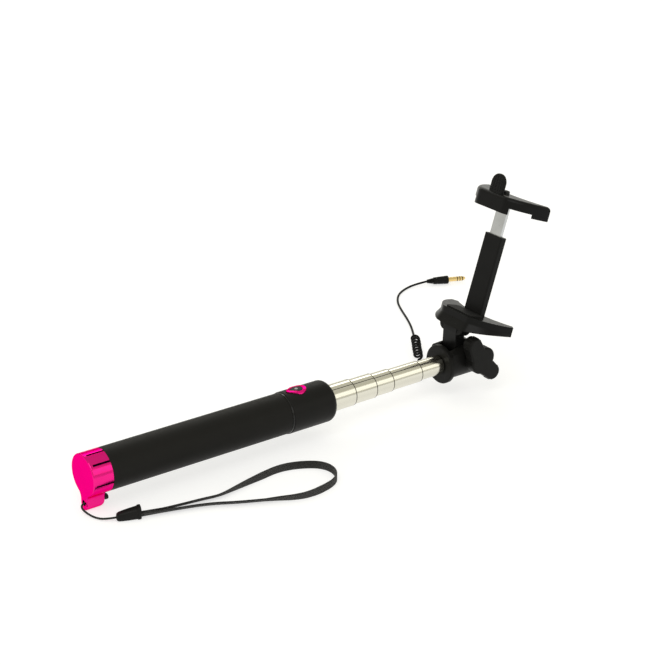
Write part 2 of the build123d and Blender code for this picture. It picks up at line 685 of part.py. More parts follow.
with BuildPart() as upper_pad:
    with BuildSketch(level(HIGH_UNDER - 0.8)):
        with Locations((7.9, 0)):
            RectangleRounded(5.2, 22.0, 1.5)
    extrude(amount=0.8)
upper_pad.part.label = "upper_pad"
export_step(upper_pad.part, "parts/upper_pad.step")

with BuildPart() as jaw_slider:
    with BuildSketch(level(SLIDER_BOTTOM)):
        with Locations((CAVITY_N, 0)):
            Rectangle(SLIDER_T, 2 * SLIDER_HALF)
    extrude(amount=HIGH_UNDER + 1.8 - SLIDER_BOTTOM)
    with BuildSketch(level(HIGH_UNDER)):
        with Locations((SLIDER_BACK + FLANGE_DEPTH / 2, 0)):
            Rectangle(FLANGE_DEPTH, 2 * SLIDER_HALF)
    extrude(amount=1.8)
    with BuildSketch(level(HIGH_UNDER)):
        with Locations((CLAMP_SCREW_N, 0)):
            Circle(1.55)
    extrude(amount=5, mode=Mode.SUBTRACT)
jaw_slider.part.label = "jaw_slider"
export_step(jaw_slider.part, "parts/jaw_slider.step")

with BuildPart() as slider_screw:
    with BuildSketch(level(HIGH_TOP)):
        with Locations((CLAMP_SCREW_N, 0)):
            Circle(2.5)
    extrude(amount=2.2)
    fillet(slider_screw.edges().sort_by(Axis(PIVOT, RISE))[-1], 0.9)
    with BuildSketch(level(HIGH_UNDER + 0.1)):
        with Locations((CLAMP_SCREW_N, 0)):
            Circle(1.5)
    extrude(amount=HIGH_TOP - HIGH_UNDER - 0.1)
    with BuildSketch(level(HIGH_TOP + 1.3)):
        with Locations((CLAMP_SCREW_N, 0)):
            Rectangle(3.0, 0.7)
            Rectangle(0.7, 3.0)
    extrude(amount=2, mode=Mode.SUBTRACT)
slider_screw.part.label = "slider_screw"
export_step(slider_screw.part, "parts/slider_screw.step")

# --- Jack lead: it leaves the gland, drops to the table, runs through its curly part and ends in a plug -
COIL_WAY = Vector(0.585, 0.811, 0).normalized()
COIL_START = Vector(125.0, 50.0, COIL_R)
COIL_END = COIL_START + COIL_WAY * COIL_LENGTH
LEAD_H = CABLE_R + 0.05
gland_mouth = lead_corner + GLAND_WAY * GLAND_TIP

LEAD_IN = [
    (gland_mouth.X, gland_mouth.Y, gland_mouth.Z),
    (102.2, 19.3, 8.2),
    (103.6, 24.2, 4.0),
    (107.2, 29.6, 1.2),
    (112.6, 35.6, LEAD_H),
    (118.6, 42.0, LEAD_H),
    (COIL_START.X, COIL_START.Y, LEAD_H),
]
LEAD_OUT = [
    (COIL_END.X, COIL_END.Y, LEAD_H),
    (150.2, 85.6, LEAD_H),
    (158.2, 98.0, LEAD_H),
    (165.2, 111.4, LEAD_H),
    (171.6, 125.6, LEAD_H),
    (179.0, 139.6, LEAD_H),
    (189.2, 151.0, LEAD_H),
    (201.4, 157.2, LEAD_H),
    (212.0, 157.6, 1.9),
    (220.0, 154.6, 3.2),
]
PLUG_WAY = Vector(0.93, -0.365, 0).normalized()
PLUG_START = Vector(*LEAD_OUT[-1]) + PLUG_WAY * 0.15


def cord(route, radius):
    """Tube along a route of straight runs joined by the largest tangent arcs."""
    with BuildPart() as tube_of_cord:
        with BuildLine():
            line = FilletPolyline(*route, radius=bend_radii(route))
        with BuildSketch(Plane(origin=line @ 0, z_dir=line % 0)):
            Circle(radius)
        sweep()
    print("cord length", round(line.length, 1), "radii", [round(r, 1) for r in bend_radii(route)])
    return tube_of_cord.part


def along_plug(distance):
    """Plane square to the plug's axis, this far from the lead's end."""
    return Plane(origin=PLUG_START + PLUG_WAY * distance, z_dir=PLUG_WAY)


with BuildPart() as cable_lead:
    add(cord(LEAD_IN, CABLE_R))
cable_lead.part.label = "cable_lead"
export_step(cable_lead.part, "parts/cable_lead.step")

with BuildPart() as cable_coil:
    with BuildSketch(Plane(origin=COIL_START, z_dir=COIL_WAY)):
        Circle(COIL_R)
    extrude(amount=COIL_LENGTH)
cable_coil.part.label = "cable_coil"
export_step(cable_coil.part, "parts/cable_coil.step")

with BuildPart() as cable_tube:
    add(cord(LEAD_OUT, CABLE_R))
cable_tube.part.label = "cable_tube"
export_step(cable_tube.part, "parts/cable_tube.step")

RELIEF_LENGTH, PLUG_LENGTH = 5.0, 12.0
PIN_R, SLEEVE_LENGTH, RING_T = 1.75, 7.0, 0.6
PIN_X = RELIEF_LENGTH + PLUG_LENGTH

with BuildPart() as plug_relief:
    with BuildSketch(along_plug(0)):
        Circle(1.3)
    with BuildSketch(along_plug(RELIEF_LENGTH)):
        Circle(2.2)
    loft()
plug_relief.part.label = "plug_relief"
export_step(plug_relief.part, "parts/plug_relief.step")

with BuildPart() as plug_body:
    with BuildSketch(along_plug(RELIEF_LENGTH)):
        Circle(2.5)
    with BuildSketch(along_plug(PIN_X)):
        Circle(3.15)
    loft()
    fillet(plug_body.edges().filter_by(GeomType.CIRCLE), 0.4)
plug_body.part.label = "plug_body"
export_step(plug_body.part, "parts/plug_body.step")

# The jack pin: sleeve, two contact rings and a pointed tip, parted by three insulating rings.
stations = [PIN_X + SLEEVE_LENGTH, PIN_X + SLEEVE_LENGTH + 2.0, PIN_X + SLEEVE_LENGTH + 4.0]
with BuildPart() as plug_pin:
    with BuildSketch(along_plug(PIN_X)):
        Circle(PIN_R)
    extrude(amount=SLEEVE_LENGTH)
    for station in stations:
        with BuildSketch(along_plug(station)):
            Circle(1.0)
        extrude(amount=RING_T)
    for station in stations[:2]:
        with BuildSketch(along_plug(station + RING_T)):
            Circle(PIN_R)
        extrude(amount=2.0 - RING_T)
    tip = stations[-1] + RING_T
    for start, first, end, second in ((0, PIN_R, 0.6, 1.2), (0.6, 1.2, 1.2, 1.6), (1.2, 1.6, 2.4, 0.5)):
        with BuildSketch(along_plug(tip + start)):
            Circle(first)
        with BuildSketch(along_plug(tip + end)):
            Circle(second)
        loft()
plug_pin.part.label = "plug_pin"
export_step(plug_pin.part, "parts/plug_pin.step")

with BuildPart() as plug_rings:
    for station in stations:
        with BuildSketch(along_plug(station)):
            Circle(PIN_R)
            Circle(1.0, mode=Mode.SUBTRACT)
        extrude(amount=RING_T)
plug_rings.part.label = "plug_rings"
export_step(plug_rings.part, "parts/plug_rings.step")

# --- Wrist strap: string through the lug, a toggle, and a woven band on edge on the table ---------------
EYE_Z = AXIS_H - lug_drop + 1.0
STRING_ROUTE = [
    (BUTT_X + 12.6, 0, EYE_Z),
    (BUTT_X + 6.0, 0.1, EYE_Z),
    (BUTT_X - 1.2, 0, EYE_Z - 0.1),
    (BUTT_X - 2.8, -2.2, EYE_Z - 1.6),
    (BUTT_X - 1.9, -6.5, 1.5),
    (BUTT_X - 0.4, -12.0, 0.9),
    (BUTT_X + 2.4, -18.2, 1.4),
    (BUTT_X + 8.6, -21.6, 2.3),
]
TOGGLE_LENGTH = 14.0
TOGGLE_NOSE = Vector(*STRING_ROUTE[-1])
TOGGLE_WAY = Vector(0.94, -0.34, 0).normalized()
toggle_tail = TOGGLE_NOSE + TOGGLE_WAY * TOGGLE_LENGTH
MOUTH_DEPTH = 2.5
BAND_GAP = 0.75  # half the distance between the two strands' middles in the toggle's mouth
BAND_H = BAND_WIDTH / 2 + 0.05
aside = Vector(0.34, 0.94, 0)
strand_far = toggle_tail - TOGGLE_WAY * MOUTH_DEPTH + aside * BAND_GAP
strand_near = toggle_tail - TOGGLE_WAY * MOUTH_DEPTH - aside * BAND_GAP

BAND_ROUTE = [
    (strand_far.X, strand_far.Y, BAND_H),
    (BUTT_X + 37.1, -28.6, BAND_H),
    (BUTT_X + 59.6, -31.4, BAND_H),
    (BUTT_X + 70.6, -33.6, BAND_H),
    (BUTT_X + 82.6, -32.0, BAND_H),
    (BUTT_X + 102.6, -29.0, BAND_H),
    (BUTT_X + 117.6, -26.8, BAND_H),
    (BUTT_X + 130.6, -30.4, BAND_H),
    (BUTT_X + 141.6, -38.0, BAND_H),
    (BUTT_X + 143.4, -49.0, BAND_H),
    (BUTT_X + 136.6, -59.4, BAND_H),
    (BUTT_X + 120.6, -63.4, BAND_H),
    (BUTT_X + 107.6, -63.0, BAND_H),
    (BUTT_X + 92.6, -54.8, BAND_H),
    (BUTT_X + 74.6, -46.6, BAND_H),
    (BUTT_X + 60.6, -38.4, BAND_H),
    (BUTT_X + 40.6, -32.0, BAND_H),
    (strand_near.X, strand_near.Y, BAND_H),
]


def along_toggle(distance, height):
    """Upright plane across the toggle, this far from its nose: local x is level and local y is up."""
    origin = TOGGLE_NOSE + TOGGLE_WAY * distance
    return Plane(origin=(origin.X, origin.Y, height), x_dir=aside, z_dir=TOGGLE_WAY)


with BuildPart() as strap_string:
    add(cord(STRING_ROUTE, STRING_R))
strap_string.part.label = "strap_string"
export_step(strap_string.part, "parts/strap_string.step")

with BuildPart() as string_knot:
    with BuildSketch(Plane(origin=STRING_ROUTE[0], z_dir=(1, 0, 0))):
        Circle(2.1)
    extrude(amount=3.2)
    fillet(string_knot.edges(), 1.2)
string_knot.part.label = "string_knot"
export_step(string_knot.part, "parts/string_knot.step")

with BuildPart() as strap_toggle:
    with BuildSketch(along_toggle(0, 2.35)):
        RectangleRounded(4.4, 4.6, 1.8)
    with BuildSketch(along_toggle(TOGGLE_LENGTH, 4.2)):
        RectangleRounded(6.6, 8.3, 1.6)
    loft()
    with BuildSketch(along_toggle(TOGGLE_LENGTH - MOUTH_DEPTH, 0)):
        with Locations((0, BAND_H)):
            Rectangle(3.2, BAND_WIDTH)
    extrude(amount=MOUTH_DEPTH + 1, mode=Mode.SUBTRACT)
strap_toggle.part.label = "strap_toggle"
export_step(strap_toggle.part, "parts/strap_toggle.step")

with BuildPart() as strap_band:
    with BuildLine():
        band_line = FilletPolyline(*BAND_ROUTE, radius=bend_radii(BAND_ROUTE))
    with BuildSketch(Plane(origin=band_line @ 0, x_dir=(0, 0, 1), z_dir=band_line % 0)):
        Rectangle(BAND_WIDTH, BAND_T)
    sweep()
print("band length", round(band_line.length, 1), "radii", [round(r, 1) for r in bend_radii(BAND_ROUTE)])
strap_band.part.label = "strap_band"
export_step(strap_band.part, "parts/strap_band.step")
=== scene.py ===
import json
from math import cos, pi, radians, sin

import bmesh
import bpy
from mathutils import Matrix, Vector


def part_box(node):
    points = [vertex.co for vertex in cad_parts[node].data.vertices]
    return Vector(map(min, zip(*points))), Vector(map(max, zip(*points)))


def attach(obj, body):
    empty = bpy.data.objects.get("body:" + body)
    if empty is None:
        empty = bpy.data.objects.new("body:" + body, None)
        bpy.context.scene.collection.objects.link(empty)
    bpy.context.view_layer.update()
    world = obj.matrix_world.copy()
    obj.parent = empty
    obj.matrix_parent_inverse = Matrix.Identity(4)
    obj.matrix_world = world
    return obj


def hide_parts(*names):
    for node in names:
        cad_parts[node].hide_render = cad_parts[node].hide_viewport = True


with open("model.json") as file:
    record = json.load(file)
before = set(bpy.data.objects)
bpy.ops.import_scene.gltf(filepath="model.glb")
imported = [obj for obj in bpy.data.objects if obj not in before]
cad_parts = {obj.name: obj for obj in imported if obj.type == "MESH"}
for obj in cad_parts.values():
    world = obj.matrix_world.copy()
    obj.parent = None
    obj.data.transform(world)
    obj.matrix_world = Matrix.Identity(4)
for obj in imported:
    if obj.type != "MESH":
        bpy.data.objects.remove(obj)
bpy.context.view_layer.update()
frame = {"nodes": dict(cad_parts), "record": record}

MM = 0.001

# --- Sizes that the cords and the replaced pieces share with the design, in millimetres -----------
AXIS_H = 22.3
BUTT_X = -164.6
CABLE_R = 0.8
COIL_R, COIL_LENGTH, COIL_TURNS = 3.5, 32.0, 7
BAND_WIDTH, BAND_T = 5.0, 1.0
STRING_R = 0.62
CAP_R, CAP_RIM = 13.0, 1.9
FLOOR_GAP = 0.05

# --- Camera ---------------------------------------------------------------------------------------
VIEW_AZIMUTH, VIEW_ELEVATION, VIEW_ROLL = radians(-37.369), radians(23.342), radians(0.928)
CAMERA_AT = Vector((-0.5697, -0.7619, 0.4806))
LENS = 91.92


def aim_camera():
    """The camera looks down at the stick from its butt's side, slightly rolled."""
    data = bpy.data.cameras.new("camera")
    data.lens, data.sensor_width = LENS, 36.0
    camera = bpy.data.objects.new("camera", data)
    bpy.context.scene.collection.objects.link(camera)
    right = Vector((cos(VIEW_AZIMUTH), sin(VIEW_AZIMUTH), 0))
    level = cos(VIEW_ELEVATION)
    back = Vector((sin(VIEW_AZIMUTH) * level, -cos(VIEW_AZIMUTH) * level, sin(VIEW_ELEVATION)))
    up = back.cross(right)
    rolled_right = right * cos(VIEW_ROLL) + up * sin(VIEW_ROLL)
    rolled_up = up * cos(VIEW_ROLL) - right * sin(VIEW_ROLL)
    turn = Matrix((rolled_right, rolled_up, back)).transposed().to_4x4()
    camera.matrix_world = Matrix.Translation(CAMERA_AT) @ turn
    bpy.context.scene.camera = camera


aim_camera()


# --- Small building helpers -----------------------------------------------------------------------
def link(name, data):
    """A new object of this mesh or curve, in the scene."""
    piece = bpy.data.objects.new(name, data)
    bpy.context.scene.collection.objects.link(piece)
    return piece


def spline_curve(name, points, bevel):
    """One open smooth NURBS curve along a route given in millimetres, thick by its bevel."""
    data = bpy.data.curves.new(name, "CURVE")
    data.dimensions = "3D"
    spline = data.splines.new("NURBS")
    spline.points.add(len(points) - 1)
    for slot, point in zip(spline.points, points):
        slot.co = (point[0] * MM, point[1] * MM, point[2] * MM, 1)
    spline.order_u = 3
    spline.use_endpoint_u = True
    spline.resolution_u = 6
    data.bevel_depth = bevel * MM
    data.bevel_resolution = 5
    data.use_fill_caps = True
    return link(name, data)


def centreline(points):
    """Points along the smooth curve of a route, in metres."""
    ghost = spline_curve("route_ghost", points, 0)
    mesh = bpy.data.meshes.new_from_object(ghost)
    line = [v.co.copy() for v in mesh.vertices]
    bpy.data.objects.remove(ghost)
    return line


def mesh_piece(name, vertices, faces):
    """A smooth-shaded mesh object with outward normals."""
    mesh = bpy.data.meshes.new(name)
    mesh.from_pydata([tuple(v) for v in vertices], [], faces)
    work = bmesh.new()
    work.from_mesh(mesh)
    bmesh.ops.recalc_face_normals(work, faces=work.faces)
    work.to_mesh(mesh)
    work.free()
    mesh.polygons.foreach_set("use_smooth", [True] * len(mesh.polygons))
    return link(name, mesh)


def tube_faces(rings, count):
    """Faces of a skin over rings of count points each, with a cap at either end."""
    faces = []
    for ring in range(rings - 1):
        for k in range(count):
            a, b = ring * count + k, ring * count + (k + 1) % count
            faces.append((a, b, b + count, a + count))
    faces.append(tuple(range(count)))
    faces.append(tuple(range((rings - 1) * count, rings * count)))
    return faces


def lathe(name, profile, origin, way, segments=48):
    """A turned piece with capped ends: profile is (distance along way, radius), in millimetres."""
    way = Vector(way).normalized()
    side = way.orthogonal().normalized()
    other = way.cross(side)
    vertices = []
    for distance, radius in profile:
        for k in range(segments):
            angle = 2 * pi * k / segments
            spoke = side * cos(angle) + other * sin(angle)
            vertices.append((Vector(origin) + way * distance + spoke * radius) * MM)
    return mesh_piece(name, vertices, tube_faces(len(profile), segments))


def rounded_section(width, height, corner, steps=5):
    """Outline of a rounded rectangle as (across, up) pairs."""
    outline = []
    for turn, (sx, sy) in enumerate(((1, 1), (-1, 1), (-1, -1), (1, -1))):
        for k in range(steps + 1):
            angle = (turn + k / steps) * pi / 2
            across = sx * (width / 2 - corner) + corner * cos(angle)
            outline.append((across, sy * (height / 2 - corner) + corner * sin(angle)))
    return outline


# --- Routes of the cords, in millimetres: the same points as in the design ------------------------
FLANGE_X = 99.9
GLAND_X = FLANGE_X + 3.0 - 0.4
GLAND_DOWN = radians(36)
GLAND_WAY = Vector((0, cos(GLAND_DOWN), -sin(GLAND_DOWN)))
GLAND_BASE, GLAND_TIP = 13.1, 19.0
gland_mouth = Vector((GLAND_X, 0, AXIS_H)) + GLAND_WAY * GLAND_TIP
LEAD_H = CABLE_R + FLOOR_GAP
COIL_WAY = Vector((0.585, 0.811, 0)).normalized()
COIL_START = Vector((125.0, 50.0, COIL_R))
COIL_END = COIL_START + COIL_WAY * COIL_LENGTH

LEAD_IN = [
    tuple(gland_mouth),
    (102.2, 19.3, 8.2),
    (103.6, 24.2, 4.0),
    (107.2, 29.6, 1.2),
    (112.6, 35.6, LEAD_H),
    (118.6, 42.0, LEAD_H),
]
LEAD_OUT = [
    (150.2, 85.6, LEAD_H),
    (158.2, 98.0, LEAD_H),
    (165.2, 111.4, LEAD_H),
    (171.6, 125.6, LEAD_H),
    (179.0, 139.6, LEAD_H),
    (189.2, 151.0, LEAD_H),
    (201.4, 157.2, LEAD_H),
    (212.0, 157.6, 1.9),
    (220.0, 154.6, 3.2),
]
PLUG_WAY = Vector((0.93, -0.365, 0)).normalized()
PLUG_START = Vector(LEAD_OUT[-1]) + PLUG_WAY * 0.15

EYE_Z = 4.5
STRING_ROUTE = [
    (BUTT_X + 12.6, 0, EYE_Z),
    (BUTT_X + 6.0, 0.1, EYE_Z),
    (BUTT_X - 1.2, 0, EYE_Z - 0.1),
    (BUTT_X - 2.8, -2.2, EYE_Z - 1.6),
    (BUTT_X - 1.9, -6.5, 1.5),
    (BUTT_X - 0.4, -12.0, 0.9),
    (BUTT_X + 2.4, -18.2, 1.4),
    (BUTT_X + 8.6, -21.6, 2.3),
]
TOGGLE_LENGTH, MOUTH_DEPTH, BAND_GAP = 14.0, 2.5, 0.75
TOGGLE_NOSE = Vector(STRING_ROUTE[-1])
TOGGLE_WAY = Vector((0.94, -0.34, 0)).normalized()
TOGGLE_ASIDE = Vector((0.34, 0.94, 0))
BAND_H = BAND_WIDTH / 2 + FLOOR_GAP
mouth = TOGGLE_NOSE + TOGGLE_WAY * (TOGGLE_LENGTH - MOUTH_DEPTH)
strand_far = mouth + TOGGLE_ASIDE * BAND_GAP
strand_near = mouth - TOGGLE_ASIDE * BAND_GAP
BAND_ROUTE = [
    (strand_far.x, strand_far.y, BAND_H),
    (BUTT_X + 37.1, -28.6, BAND_H),
    (BUTT_X + 59.6, -31.4, BAND_H),
    (BUTT_X + 70.6, -33.6, BAND_H),
    (BUTT_X + 82.6, -32.0, BAND_H),
    (BUTT_X + 102.6, -29.0, BAND_H),
    (BUTT_X + 117.6, -26.8, BAND_H),
    (BUTT_X + 130.6, -30.4, BAND_H),
    (BUTT_X + 141.6, -38.0, BAND_H),
    (BUTT_X + 143.4, -49.0, BAND_H),
    (BUTT_X + 136.6, -59.4, BAND_H),
    (BUTT_X + 120.6, -63.4, BAND_H),
    (BUTT_X + 107.6, -63.0, BAND_H),
    (BUTT_X + 92.6, -54.8, BAND_H),
    (BUTT_X + 74.6, -46.6, BAND_H),
    (BUTT_X + 60.6, -38.4, BAND_H),
    (BUTT_X + 40.6, -32.0, BAND_H),
    (strand_near.x, strand_near.y, BAND_H),
]


def coil_points():
    """Turns of the curly part, a little uneven, from its lowest point to its lowest point."""
    aside = COIL_WAY.cross(Vector((0, 0, 1)))
    per_turn, unevenness = 16, 0.03
    points = []
    for k in range(1, COIL_TURNS * per_turn):
        share = k / (COIL_TURNS * per_turn)
        angle = 2 * pi * COIL_TURNS * share - pi / 2
        radius = (COIL_R - CABLE_R) * (1 - unevenness * (1 + sin(5 * angle / COIL_TURNS)))
        centre = COIL_START + COIL_WAY * COIL_LENGTH * share
        centre.z = CABLE_R + radius + FLOOR_GAP
        points.append(tuple(centre + aside * cos(angle) * radius + Vector((0, 0, sin(angle) * radius))))
    return points


# --- Materials ------------------------------------------------------------------------------------
def noise(nodes, links, coordinates, scale, detail=4.0, stretch=(1, 1, 1)):
    """A noise value over the object's own coordinates, in metres, stretched along an axis if asked."""
    mapping = nodes.new("ShaderNodeMapping")
    mapping.inputs["Scale"].default_value = stretch
    texture = nodes.new("ShaderNodeTexNoise")
    texture.inputs["Scale"].default_value = scale
    texture.inputs["Detail"].default_value = detail
    links.new(coordinates, mapping.inputs["Vector"])
    links.new(mapping.outputs[0], texture.inputs["Vector"])
    return texture.outputs["Fac"]


def surface(
    name,
    base,
    rough,
    metal=0.0,
    coat=0.0,
    mottle=0.25,
    grain=3000.0,
    bump=0.15,
    stretch=(1, 1, 1),
    edge=0.0003,
    rough_spread=0.08,
    sheen=0.0,
    gloss=0.09,
    tint=(1, 1, 1),
):
    """A plastic, metal or rubber: colour mottling, fine grain in the relief and uneven roughness."""
    material = bpy.data.materials.new(name)
    material.use_nodes = True
    nodes, links = material.node_tree.nodes, material.node_tree.links
    shader = nodes["Principled BSDF"]
    shader.inputs["Metallic"].default_value = metal
    shader.inputs["Coat Weight"].default_value = coat
    shader.inputs["Coat Roughness"].default_value = 0.06
    shader.inputs["Sheen Weight"].default_value = sheen
    shader.inputs["Specular IOR Level"].default_value = gloss
    shader.inputs["Specular Tint"].default_value = (*tint, 1)
    coordinates = nodes.new("ShaderNodeTexCoord").outputs["Object"]
    broad = noise(nodes, links, coordinates, 90.0, 3.0, stretch)
    ramp = nodes.new("ShaderNodeMapRange")
    ramp.inputs["To Min"].default_value = 1 - mottle
    ramp.inputs["To Max"].default_value = 1 + mottle
    links.new(broad, ramp.inputs["Value"])
    shaded = nodes.new("ShaderNodeMix")
    shaded.data_type = "RGBA"
    shaded.blend_type = "MULTIPLY"
    shaded.inputs["Factor"].default_value = 1.0
    shaded.inputs["A"].default_value = (*base, 1)
    links.new(ramp.outputs[0], shaded.inputs["B"])
    links.new(shaded.outputs["Result"], shader.inputs["Base Color"])
    fine = noise(nodes, links, coordinates, grain, 5.0, stretch)
    spread = nodes.new("ShaderNodeMapRange")
    spread.inputs["To Min"].default_value = max(0.02, rough - rough_spread)
    spread.inputs["To Max"].default_value = rough + rough_spread
    links.new(noise(nodes, links, coordinates, 260.0, 4.0, stretch), spread.inputs["Value"])
    links.new(spread.outputs[0], shader.inputs["Roughness"])
    relief = nodes.new("ShaderNodeBump")
    relief.inputs["Strength"].default_value = bump
    relief.inputs["Distance"].default_value = 0.0001
    links.new(fine, relief.inputs["Height"])
    if edge:
        rounding = nodes.new("ShaderNodeBevel")
        rounding.samples = 4
        rounding.inputs["Radius"].default_value = edge
        links.new(rounding.outputs[0], relief.inputs["Normal"])
    links.new(relief.outputs[0], shader.inputs["Normal"])
    return material


def calculator(nodes, links):
    """A shorthand that adds one Math node and gives back its output."""

    def calculate(operation, first, second=0.0):
        node = nodes.new("ShaderNodeMath")
        node.operation = operation
        for socket, value in zip(node.inputs, (first, second)):
            if isinstance(value, float):
                socket.default_value = value
            else:
                links.new(value, socket)
        return node.outputs[0]

    return calculate


def axis_frame(nodes, links):
    """X, Y and height above the stick's axis, in metres, as sockets, and the shorthand for more sums."""
    split = nodes.new("ShaderNodeSeparateXYZ")
    links.new(nodes.new("ShaderNodeTexCoord").outputs["Object"], split.inputs[0])
    calculate = calculator(nodes, links)
    up = calculate("SUBTRACT", split.outputs["Z"], AXIS_H * MM)
    return split.outputs["X"], split.outputs["Y"], up, calculate


def paint(material, mask, colour):
    """Mixes a colour over the material's own where the mask is 1."""
    nodes, links = material.node_tree.nodes, material.node_tree.links
    shader = nodes["Principled BSDF"]
    base = shader.inputs["Base Color"].links[0].from_socket
    mix = nodes.new("ShaderNodeMix")
    mix.data_type = "RGBA"
    mix.inputs["B"].default_value = (*colour, 1)
    links.new(mask, mix.inputs["Factor"])
    links.new(base, mix.inputs["A"])
    links.new(mix.outputs["Result"], shader.inputs["Base Color"])


def paint_groove_shade(material, reach, colour):
    """Painted shade in the cap's grooves: darkens what lies nearer than reach to the stick's axis, behind the
    cap's rim.
    """
    x, y, up, calculate = axis_frame(material.node_tree.nodes, material.node_tree.links)
    squares = calculate("ADD", calculate("MULTIPLY", up, up), calculate("MULTIPLY", y, y))
    inside = calculate("LESS_THAN", calculate("SQRT", squares), reach)
    behind = calculate("GREATER_THAN", x, (BUTT_X + CAP_RIM) * MM)
    paint(material, calculate("MULTIPLY", inside, behind), colour)


# Painted shade on the chrome tubes: a darker line along the pressed key line, and a dark band on the rounded
# rim at each tube's mouth.
KEY_TURN, KEY_HALF_WIDTH, KEY_LINE_PAINTED_SHADE = radians(119), 0.3, (0.16, 0.15, 0.12)
RIM_WIDTH, RIM_PAINTED_SHADE = 0.7, (0.07, 0.065, 0.05)


def chrome_tube(name, front):
    """Polished tube, with painted shade along its pressed key line and on the rolled rim at its mouth."""
    material = surface(
        name, (0.72, 0.70, 0.61), 0.15, metal=1.0, mottle=0.16, grain=1500, bump=0.06,
        stretch=(0.03, 1, 1), edge=0.00015, rough_spread=0.05,
    )
    x, y, up, calculate = axis_frame(material.node_tree.nodes, material.node_tree.links)
    c, s = cos(KEY_TURN), sin(KEY_TURN)
    along_key = calculate("ADD", calculate("MULTIPLY", y, c), calculate("MULTIPLY", up, s))
    off_key = calculate("ADD", calculate("MULTIPLY", y, -s), calculate("MULTIPLY", up, c))
    narrow = calculate("LESS_THAN", calculate("ABSOLUTE", off_key), KEY_HALF_WIDTH * MM)
    # Painted shade along the pressed key line.
    paint(material, calculate("MULTIPLY", narrow, calculate("GREATER_THAN", along_key, 0.0)), KEY_LINE_PAINTED_SHADE)
    # Painted shade on the rounded rim at the tube's mouth.
    paint(material, calculate("GREATER_THAN", x, front - RIM_WIDTH * MM), RIM_PAINTED_SHADE)
    return material


def woven(name, base, along, across, strength):
    """Woven or braided textile over a piece's own UV: threads crossing at right angles."""
    material = surface(name, base, 0.85, mottle=0.3, bump=0.2, edge=0.0, sheen=0.25)
    nodes, links = material.node_tree.nodes, material.node_tree.links
    shader = nodes["Principled BSDF"]
    mapping = nodes.new("ShaderNodeMapping")
    mapping.inputs["Scale"].default_value = (along, across, 1)
    links.new(nodes.new("ShaderNodeTexCoord").outputs["UV"], mapping.inputs["Vector"])
    threads = []
    for direction in ("X", "Y"):
        wave = nodes.new("ShaderNodeTexWave")
        wave.bands_direction = direction
        wave.inputs["Scale"].default_value = 1.0
        wave.inputs["Distortion"].default_value = 0.6
        links.new(mapping.outputs[0], wave.inputs["Vector"])
        threads.append(wave.outputs["Fac"])
    height = calculator(nodes, links)("MULTIPLY", *threads)
    weave = nodes.new("ShaderNodeBump")
    weave.inputs["Strength"].default_value = strength
    weave.inputs["Distance"].default_value = 0.0003
    links.new(height, weave.inputs["Height"])
    links.new(shader.inputs["Normal"].links[0].from_socket, weave.inputs["Normal"])
    links.new(weave.outputs[0], shader.inputs["Normal"])
    return material


